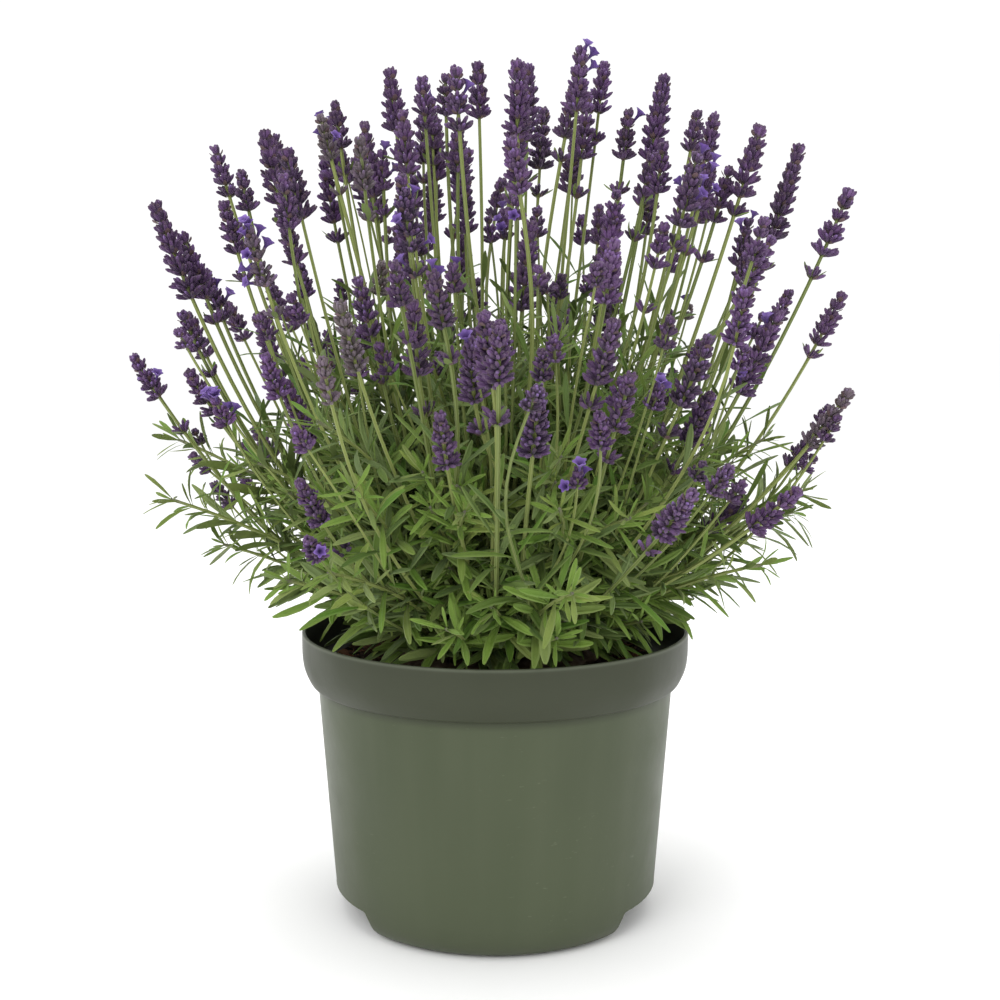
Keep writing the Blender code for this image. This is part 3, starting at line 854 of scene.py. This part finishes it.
def petal_part(base, ahead, axis, size, tone, slot=0, sides=30):
    """Open flowers: a narrow tube that flares into five lobes and comes back inside its own mouth.

    The flare is deepened five times a turn by a cosine, and the lobes on the upper side are longer.
    """
    side = unit(np.cross(axis, ahead) + 1e-6)
    over = np.cross(ahead, side)
    cosine, sine = ring_turns(sides)
    lobes = 0.20 * np.cos(5 * np.arange(sides) * math.tau / sides) + 0.16 * sine
    flare = PETAL_RADIUS[:, None] * (1 + lobes * PETAL_RADIUS[:, None] ** 2)
    line = base[:, None] + size[:, None, None] * PETAL_ALONG[None, :, None] * ahead[:, None]
    spread = cosine[:, None] * side[:, None, None] + sine[:, None] * over[:, None, None]
    points = line[:, :, None] + 0.5 * size[:, None, None, None] * flare[None, ..., None] * spread
    along, lobe = PETAL_ALONG[None, :, None], PETAL_RADIUS[None, :, None]
    marks = marks_of(points.shape[:3], tone[:, None, None], along, lobe, 0.0)
    return wrap(points, marks, slot)


# %% Whorls of calyces along a spike
def whorl(rng, turn, lean, start, length, outer, inner):
    """One row per calyx: turn about the axis, lean from it, distance along it and length.

    Each of the two fans has outer calyces and, a little higher and steeper, inner ones.
    """
    fan = np.concatenate([np.linspace(-1.32, 1.32, outer), np.linspace(-0.85, 0.85, inner)])
    is_inner = np.tile(np.arange(outer + inner) >= outer, 2)
    count = 2 * (outer + inner)
    return np.stack([
        turn + np.concatenate([fan, fan + math.pi]) + rng.normal(0, 0.10, count),
        lean * (1 - 0.36 * is_inner) + rng.normal(0, 0.08, count),
        start + 0.0011 * is_inner + rng.normal(0, 0.0003, count),
        length * (1 - 0.12 * is_inner) * rng.uniform(0.88, 1.08, count),
    ], 1)


CALYX_LENGTH, CALYX_WIDTH = 0.0070, 0.00188
BRACT_LENGTH, BRACT_WIDTH = 0.0038, 0.0026
WHORL_STEP = 0.0050
STEM_SKIN = 0.0008


def grow_spike(rng, path, head, detached, young, open_share):
    """All calyces, bracts and open flowers of one spike. A short spike has small calyces.

    Vigour grows with the head's length and scales every calyx. The lower a whorl is, the more outer
    calyces it has and the farther they lean out.
    """
    total = run_of(path)[-1]
    vigour = min(1.10, max(0.62, 0.52 + head / 0.060))
    calyx = CALYX_LENGTH * vigour
    tall = head - 0.75 * calyx
    level = np.linspace(0, 1, max(2, round(tall / (WHORL_STEP * math.sqrt(vigour))) + 1))
    turn = rng.uniform(0, math.tau)
    starts = total - head + tall * level ** rng.uniform(0.85, 1.0)
    starts[1:-1] += rng.normal(0, 0.0005, len(level) - 2)
    turns = turn + np.arange(len(level)) * math.pi / 2
    widest = math.radians(rng.uniform(58, 68))
    taper = rng.uniform(0.28, 0.42)
    rows = []
    for share, start, fan_turn in zip(level, starts, turns):
        outer = round((7.6 - 3.2 * share) * (0.5 + 0.5 * vigour))
        lean = widest * (1 - 0.62 * share**1.4)
        long = calyx * (1 - taper * share**1.2) * rng.uniform(0.92, 1.08)
        rows.append(whorl(rng, fan_turn, lean, start, long, outer, 3))
    topmost = total - 0.72 * calyx
    rows.append(whorl(rng, turn, lean=0.16, start=topmost, length=0.62 * calyx, outer=2, inner=1))
    if detached:
        low, quarter_on = total - head - detached, turn + math.pi / 2
        outer = int(rng.integers(3, 6))
        rows.append(whorl(rng, quarter_on, lean=0.9, start=low, length=0.92 * calyx, outer=outer, inner=1))
        starts, turns = np.append(starts, low), np.append(turns, quarter_on)
    rows = np.concatenate(rows)
    rows = rows[rng.uniform(0, 1, len(rows)) > rng.uniform(0.02, 0.14)]
    place, axis = along_path(path, np.clip(rows[:, 2], 0, total - 0.001))
    out = around(axis, rows[:, 0])
    ahead = unit(np.cos(rows[:, 1])[:, None] * axis + np.sin(rows[:, 1])[:, None] * out)
    tone = np.clip(rng.normal(0.45, 0.22, len(rows)) + rng.normal(0, 0.12), 0, 1)
    bud = np.clip(rng.normal(rng.uniform(0.0, 0.50), 0.24, len(rows)), 0, 1)
    width = CALYX_WIDTH * math.sqrt(vigour) * rng.uniform(0.88, 1.12, len(rows)) * (1 - 0.15 * young)
    length = rows[:, 3] * (1 - 0.25 * young)
    parts = [calyx_part(place + out * STEM_SKIN, ahead, axis, length, width, tone, bud, young)]
    bract_turn = np.repeat(turns, 2) + np.tile([0, math.pi], len(turns))
    place_b, axis_b = along_path(path, np.repeat(starts - 0.0008, 2))
    out_b = around(axis_b, bract_turn)
    zero = np.zeros(len(bract_turn))
    sizes = [zero + BRACT_LENGTH * vigour, zero + BRACT_WIDTH * vigour, zero + 0.60, zero + 0.40, zero, zero]
    blade = leaf_points(place_b + out_b * 0.0009, out_b, axis_b, *sizes, 5)
    parts.append(leaf_part(blade, rng.uniform(0, 1, len(zero)), 1))
    is_open = rng.uniform(0, 1, len(rows)) < open_share
    if is_open.any():
        mouth = (place + out * STEM_SKIN + ahead * length[:, None] * 0.80)[is_open]
        size = rng.uniform(0.0044, 0.0056, is_open.sum())
        shades = rng.uniform(0, 1, is_open.sum())
        parts.append(petal_part(mouth, ahead[is_open], axis[is_open], size, shades, 2))
    return parts


# %% [markdown]
# ## The whole stalk
#
# Stalks carry a few pairs of leaves low down, and about half of them have one more whorl of calyces
# some way below the spike, with a leafy bract on each side.

# %% Grow a stalk
def wander(rng, path, reach):
    """The path with slow waves to both sides that vanish at its two ends."""
    lean = unit(path[-1] - path[0])
    side = unit(np.cross(lean, np.array([0.02, 0.05, 1.0])))
    t = np.linspace(0, 1, len(path))[:, None]
    bow, snake, sag = rng.normal(0, reach, 3)
    wave = (bow * np.sin(math.pi * t) + snake * np.sin(math.tau * t)) * side
    return path + wave + sag * np.sin(math.pi * t) * np.cross(lean, side)


def pair_leaves(rng, path, at, turn, length, width, rise, droop, stations=6):
    """Blades in opposite pairs at given distances; each pair stands a quarter turn from the last."""
    values = np.broadcast_arrays(np.asarray(at, float), length, width, rise, droop)
    at, length, width, rise, droop = (np.repeat(value, 2) for value in values)
    count = len(at)
    turns = turn + np.repeat(np.arange(count // 2) * math.pi / 2, 2) + np.tile([0, math.pi], count // 2)
    place, axis = along_path(path, at)
    out = around(axis, turns + rng.normal(0, 0.20, count))
    length = length * rng.uniform(0.82, 1.12, count)
    return leaf_points(place + out * 0.0005, out, axis, length, width * rng.uniform(0.85, 1.12, count),
                       rise + rng.normal(0, 0.16, count), droop + rng.normal(0, 0.25, count),
                       rng.normal(0, 0.40, count), rng.normal(0, 0.09, count), stations)


SMALL_HEAD = 0.018
STEM_THICK, STEM_THIN = 0.00086, 0.00062
STALK_LEAF_STEP = 0.019
STALK_LEAF_LENGTHS, STALK_LEAF_WIDTHS = (0.038, 0.025), (0.0050, 0.0031)


def grow_stalk(rng, path, head):
    """The stem, the spike and the leaves of one stalk, as three lists of parts.

    Pairs of leaves stand on the lower three quarters of the bare stem, the longest lowest, and the
    four lowest pairs have a tuft of young leaves in their axils.
    """
    total = run_of(path)[-1]
    detached = rng.uniform(0.007, 0.022) if rng.uniform() < 0.55 and head > SMALL_HEAD else 0.0
    young = float(rng.uniform(0.4, 0.8)) if rng.uniform() < 0.06 else float(rng.uniform(0, 0.12))
    open_share = rng.choice([0.0, 0.010, 0.035, 0.08], p=[0.78, 0.14, 0.06, 0.02])
    bare = max(0.02, total - head - 0.030)
    pairs = int(np.clip(bare / STALK_LEAF_STEP, 1, 8))
    at = np.linspace(0.012, max(0.02, bare * 0.78), pairs)
    turn = rng.uniform(0, math.tau)
    lengths, widths = np.linspace(*STALK_LEAF_LENGTHS, pairs), np.linspace(*STALK_LEAF_WIDTHS, pairs)
    blades = pair_leaves(rng, path, at, turn, lengths, widths, rise=0.90, droop=-0.50)
    tufts = pair_leaves(rng, path, at[:4] + 0.0006, turn + 0.9, length=0.015, width=0.0024,
                        rise=1.05, droop=-0.2, stations=5)
    thick = STEM_THICK if head > SMALL_HEAD else STEM_THIN
    joints = list(at)
    if detached:
        joints.append(total - head - detached)
    stem = [stem_part(path, thick * 1.12, thick * 0.85, joints, rng.uniform(), end=total - 0.0045)]
    leaves = []
    for group, low, high in ((blades, 0.22, 0.62), (tufts, 0.5, 0.85)):
        keep = clear_of_pot(group)
        if keep.any():
            leaves.append(leaf_part(group[keep], rng.uniform(low, high, keep.sum())))
    if detached:
        bracts = pair_leaves(rng, path, [joints[-1] - 0.0008], turn, length=0.009, width=0.0026,
                             rise=0.75, droop=0.2, stations=5)
        leaves.append(leaf_part(bracts, rng.uniform(0.4, 0.8, 2)))
    return stem, grow_spike(rng, path, head, detached, young, open_share), leaves


# %% The main stalks
# A visible spike is a share of the solid head's length, drawn by chance between these two.
HEAD_SHARE = (0.62, 0.92)
MAIN_WAVE = 0.0014
spike_finishes = [calyx_violet, bract_brown, petal_violet]
stalk_leaves = []
paths = []
for number, (node, (foot, tip, head)) in enumerate(zip(stalk_nodes, main_stalks), 1):
    rng = np.random.default_rng(100 + number)
    paths.append(wander(rng, stalk_path(foot, tip), MAIN_WAVE))
    stem, spike, leaves = grow_stalk(rng, paths[-1], head * rng.uniform(*HEAD_SHARE))
    for name, parts, finishes, slot in (
        (f"stem_{number:02d}", stem, [stem_green], "leaf_green"),
        (f"spike_{number:02d}", spike, spike_finishes, "calyx_violet"),
    ):
        piece = make_piece(name, parts, finishes)
        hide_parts(node)
    stalk_leaves += leaves
print("calyces on the last spike:", spike[0]["copies"])

# %% [markdown]
# ## The stalks between them
#
# A plant this size flowers on more than a hundred stalks. The rest fill the dome between the main
# ones. Their turns step by the golden angle, which spreads them evenly, and a candidate that would
# cross a stalk that is already there is skipped. Nearly half are short side stalks with small heads.

# %% Fill the dome
DOME_FOOT, DOME_RISE, DOME_RADIUS = 0.232, 0.184, 0.182
LOWEST_TIP = 0.205
FARTHEST_TIP = 0.165
CROWN_REACH = 0.045


def dome_height(across):
    """How high a spike's tip reaches at a distance from the axis.

    The outline is a rounded dome: its rise times (1 - (across / radius) to the 2.6), to the 0.62.
    """
    return DOME_FOOT + DOME_RISE * np.clip(1 - (across / DOME_RADIUS) ** 2.6, 0, 1) ** 0.62


def crowded(path, others, room):
    """True if a path comes closer than room to any path so far, once both are clear of the crown."""
    if not others:
        return False
    mine = path[18::6]
    return min(np.linalg.norm(mine[:, None] - o[None, 18::6], axis=2).min() for o in others) < room


stand = crown_high[2] + 0.0004
MORE_STALKS = 154
MOST_TRIES = 3000
SMALL_SHARE = 0.45
GOLDEN_ANGLE = math.radians(137.508)
SMALL_LENGTHS, TALL_LENGTHS = (0.008, 0.017), (0.017, 0.033)
SMALL_ROOM, TALL_ROOM = 0.0034, 0.0042
MORE_WAVE = 0.0040
more_stalks = []
rng = np.random.default_rng(77)
for number in range(MOST_TRIES):
    if len(more_stalks) >= MORE_STALKS:
        break
    small = rng.uniform() < SMALL_SHARE
    turn = number * GOLDEN_ANGLE
    across = FARTHEST_TIP * math.sqrt(rng.uniform(0.01, 1.0))
    below = rng.uniform(0.035, 0.135) if small else rng.gamma(1.5, 0.024)
    height = max(LOWEST_TIP, dome_height(across) - below)
    tip = np.array([across * math.cos(turn), across * math.sin(turn), height])
    start = tip[:2] * rng.uniform(0.12, 0.28) + rng.normal(0, 0.007, 2)
    foot = np.array([*(start * min(1.0, CROWN_REACH / np.linalg.norm(start))), stand])
    path = wander(rng, stalk_path(foot, tip), MORE_WAVE)
    if crowded(path, paths, SMALL_ROOM if small else TALL_ROOM):
        continue
    paths.append(path)
    more_stalks.append((path, float(rng.uniform(*(SMALL_LENGTHS if small else TALL_LENGTHS)))))
print("stalks so far:", len(paths))

# %% [markdown]
# A few small heads stand by themselves in front of the taller ones, where the eye falls first, so they
# are placed one by one instead of by chance.

# %% Small heads in front
SMALL_HEADS = [
    # tip across, tip towards the back, tip height and head length, in cm
    (-14.6, -3.0, 29.5, 2.0), (-12.6, -6.0, 25.7, 1.5), (-8.9, -4.0, 31.7, 1.6), (-6.0, -9.0, 28.0, 1.3),
    (-10.0, -8.0, 27.7, 2.1), (-1.0, -12.0, 28.1, 0.9), (2.4, -12.0, 28.5, 1.1), (5.4, -10.0, 26.7, 1.3),
    (7.0, -10.0, 26.5, 1.2), (3.4, -13.0, 23.1, 0.9), (11.1, -7.0, 22.0, 1.1), (9.4, -8.0, 28.0, 1.6),
    (15.9, -2.0, 25.1, 1.0), (8.9, -10.0, 23.1, 0.9), (-11.8, 0.0, 34.1, 1.1),
]
# A foot stands at this share of its tip's distance from the axis.
FOOT_SHARE = 0.24
FRONT_WAVE = 0.0030
FRONT_ROOM = 0.0020
rng = np.random.default_rng(55)
for *tip, head in np.array(SMALL_HEADS) / 100:
    tip = np.array(tip)
    foot = np.array([*(tip[:2] * FOOT_SHARE), stand])
    foot[:2] *= min(1.0, CROWN_REACH / np.linalg.norm(foot[:2]))
    path = wander(rng, stalk_path(foot, tip), FRONT_WAVE)
    if not crowded(path, paths, FRONT_ROOM):
        paths.append(path)
        more_stalks.append((path, float(head)))
print("stalks in all:", len(paths))

# %% Grow the other stalks in groups
GROUP = 6
for first in range(0, len(more_stalks), GROUP):
    stems, spikes = [], []
    for offset, (path, head) in enumerate(more_stalks[first:first + GROUP]):
        stem, spike, leaves = grow_stalk(np.random.default_rng(300 + first + offset), path, head)
        stems += stem
        spikes += spike
        stalk_leaves += leaves
    number = first // GROUP + 1
    make_piece(f"inner_stems_{number:02d}", stems, [stem_green])
    make_piece(f"inner_spikes_{number:02d}", spikes, spike_finishes)

SHEET = 24
for first in range(0, len(stalk_leaves), SHEET):
    sheet = stalk_leaves[first:first + SHEET]
    make_piece(f"stalk_leaves_{first // SHEET + 1:02d}", sheet, [leaf_green])

# %% [markdown]
# ## Leafy shoots
#
# The mound at the bottom is shoots that haven't flowered: opposite pairs of leaves, closer together
# towards the tip, with a tuft of young leaves in many axils. Low ones arch out over the rim with broad
# leaves, and inner ones stand up with narrow ones.

# %% Grow a shoot
SHOOT_LEAF_STEP = 0.0092
ROSETTE = np.array([0.62, 0.45, 0.30])


def grow_shoot(rng, path, leaf, broad, bright):
    """A stem with pairs of leaves, tufts in their axils and a rosette at the tip.

    leaf is the length of a blade, broad its width over its length, and bright the mean tone.
    """
    total = run_of(path)[-1]
    bright = bright + rng.normal(0, 0.08)
    pairs = max(4, int(total / SHOOT_LEAF_STEP))
    at = total * np.linspace(0.14, 0.97, pairs) ** 0.85
    share = at / total
    bulge = np.sin(math.pi * np.clip(share * 0.75 + 0.15, 0, 1))
    size = leaf * (0.62 + 0.55 * bulge) * (1 - 0.45 * share**6)
    turn = rng.uniform(0, math.tau)
    blades = pair_leaves(rng, path, at, turn, size, size * broad, 0.55 + 0.35 * share, -0.60)
    # Tones rise towards the tip: partly younger leaves, partly painted light on the mound's outside.
    tones = np.repeat(bright + 0.25 * share, 2) + rng.normal(0, 0.15, 2 * pairs)
    axils, tip = at[1:-1] + 0.0008, np.full(3, total - 0.0008)
    tufts = pair_leaves(rng, path, axils, turn + 1.2, leaf * 0.44, leaf * 0.38 * broad,
                        rise=0.85, droop=-0.3, stations=5)
    top = pair_leaves(rng, path, tip, turn, leaf * ROSETTE, leaf * broad * ROSETTE,
                      rise=[0.75, 1.0, 1.25], droop=-0.1, stations=5)
    small = np.concatenate([tufts, top])
    small_tones = rng.normal(bright + 0.30, 0.12, len(small))
    parts = []
    for group, group_tones in ((blades, tones), (small, small_tones)):
        keep = clear_of_pot(group)
        if keep.any():
            parts.append(leaf_part(group[keep], np.clip(group_tones, 0, 1)[keep]))
    return [*parts, stem_part(path, 0.0010, 0.0006, at, tone=0.7, rings=16, slot=1)]


# Reach and rise of the solid shoots, in turn: low and wide, then upright.
SHOOT_FORMS = [(0.088, 0.046), (0.060, 0.078)]
for number, node in enumerate(shoot_nodes):
    corners = corners_of(node)
    foot = corners[corners[:, 2] < corners[:, 2].min() + 0.0002].mean(0)
    path = shoot_path(foot, *SHOOT_FORMS[number % 2])
    parts = grow_shoot(np.random.default_rng(500 + number), path, leaf=0.0250, broad=0.165, bright=0.75)
    piece = make_piece(f"shoot_{number + 1:02d}", parts, [leaf_green, stem_green])
    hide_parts(node)

# %% Fill the mound
# bright is leaf tone and painted light: low tiers lighter, the inner upright tier darker as painted shade.
TIERS = [
    # count, then least and most of: start from the axis, reach and rise, then leaf, broad and bright
    (30, (0.040, 0.048), (0.030, 0.048), (0.030, 0.048), 0.0220, 0.170, 0.85),
    (52, (0.015, 0.048), (0.022, 0.058), (0.018, 0.052), 0.0240, 0.170, 0.92),
    (54, (0.015, 0.048), (0.030, 0.100), (0.052, 0.105), 0.0260, 0.140, 0.68),
    (64, (0.015, 0.048), (0.005, 0.090), (0.080, 0.160), 0.0285, 0.115, 0.38),
]
LONG_SHOOTS = [
    # bearing in degrees from +X, reach and rise
    (178, 0.112, 0.098), (189, 0.112, 0.072), (-4, 0.104, 0.074), (8, 0.108, 0.060), (85, 0.105, 0.090),
    (128, 0.100, 0.060),
]
SHOOT_WAVE = 0.0030
rng = np.random.default_rng(91)
more_shoots = []


def add_shoot(turn, start, reach, rise, leaf, broad, bright):
    """One more shoot, whose foot is on the crown at a turn and a distance from the axis."""
    foot = np.array([start * math.cos(turn), start * math.sin(turn), stand])
    path = wander(rng, shoot_path(foot, reach, rise), SHOOT_WAVE)
    more_shoots.append(grow_shoot(rng, path, leaf, broad, bright))


for count, starts, reaches, rises, leaf, broad, bright in TIERS:
    for number in range(count):
        turn = number * math.tau / count + rng.normal(0, 0.10)
        start, reach, rise = rng.uniform(*starts), rng.uniform(*reaches), rng.uniform(*rises)
        add_shoot(turn, start, reach, rise, leaf, broad, bright)
for bearing, reach, rise in LONG_SHOOTS:
    add_shoot(math.radians(bearing), 0.044, reach, rise, leaf=0.034, broad=0.13, bright=0.58)

for first in range(0, len(more_shoots), GROUP):
    parts = [part for shoot in more_shoots[first:first + GROUP] for part in shoot]
    piece = make_piece(f"mound_shoots_{first // GROUP + 1:02d}", parts, [leaf_green, stem_green])
print("shoots in all:", len(shoot_nodes) + len(more_shoots))

# %% [markdown]
# ## Floor, light and camera
#
# A pale floor runs far back, and broad lights stand at the front left, the front right and overhead,
# so that shadows are soft. The camera stands a little above the plant's middle and looks slightly down.

# %% Set the stage
def add_plane(name, size, material):
    """A flat square on the ground, centred on the axis."""
    mesh = bpy.data.meshes.new(name)
    half = size / 2
    corners = [(-half, -half, 0), (half, -half, 0), (half, half, 0), (-half, half, 0)]
    mesh.from_pydata(corners, [], [(0, 1, 2, 3)])
    mesh.materials.append(material)
    plane = bpy.data.objects.new(name, mesh)
    bpy.context.scene.collection.objects.link(plane)
    return plane


floor_finish = Finish("pale_floor", 0.9, 0.0)
floor_finish.shader.inputs["Base Color"].default_value = (0.96, 0.96, 0.96, 1)
floor = add_plane("studio_floor", 60.0, floor_finish.material)
floor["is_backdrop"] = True


def add_light(name, place, target, size, power):
    """A square area light that faces target."""
    data = bpy.data.lights.new(name, "AREA")
    data.size = size
    data.energy = power
    lamp = bpy.data.objects.new(name, data)
    bpy.context.scene.collection.objects.link(lamp)
    lamp.location = place
    away = unit(np.array(place) - np.array(target))
    lamp.rotation_euler = (math.acos(away[2]), 0, math.atan2(away[1], away[0]) + math.pi / 2)
    return lamp


middle = (0.0, 0.0, 0.22)
add_light("key", (-1.0, -1.5, 1.3), middle, 1.2, 13.5)
add_light("fill", (1.2, -1.3, 0.8), middle, 1.2, 3)
add_light("top", (0.0, 0.1, 1.7), middle, 1.4, 12)

world = bpy.data.worlds.new("studio")
world.use_nodes = True
world.node_tree.nodes["Background"].inputs["Color"].default_value = (1, 1, 1, 1)
world.node_tree.nodes["Background"].inputs["Strength"].default_value = 1.06
bpy.context.scene.world = world
bpy.context.scene.view_settings.view_transform = "Standard"

camera_data = bpy.data.cameras.new("camera")
camera_data.lens = 55.4
camera_data.sensor_width = 36
camera = bpy.data.objects.new("camera", camera_data)
camera.location = (0.0024, -0.75, 0.2925)
LOOKS_DOWN = 6.8
camera.rotation_euler = (math.radians(90 - LOOKS_DOWN), 0, 0)
bpy.context.scene.collection.objects.link(camera)
bpy.context.scene.camera = camera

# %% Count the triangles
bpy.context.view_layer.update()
meshes = [piece.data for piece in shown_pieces() if piece.type == "MESH"]
print("triangles:", sum(len(mesh.loops) - 2 * len(mesh.polygons) for mesh in meshes))
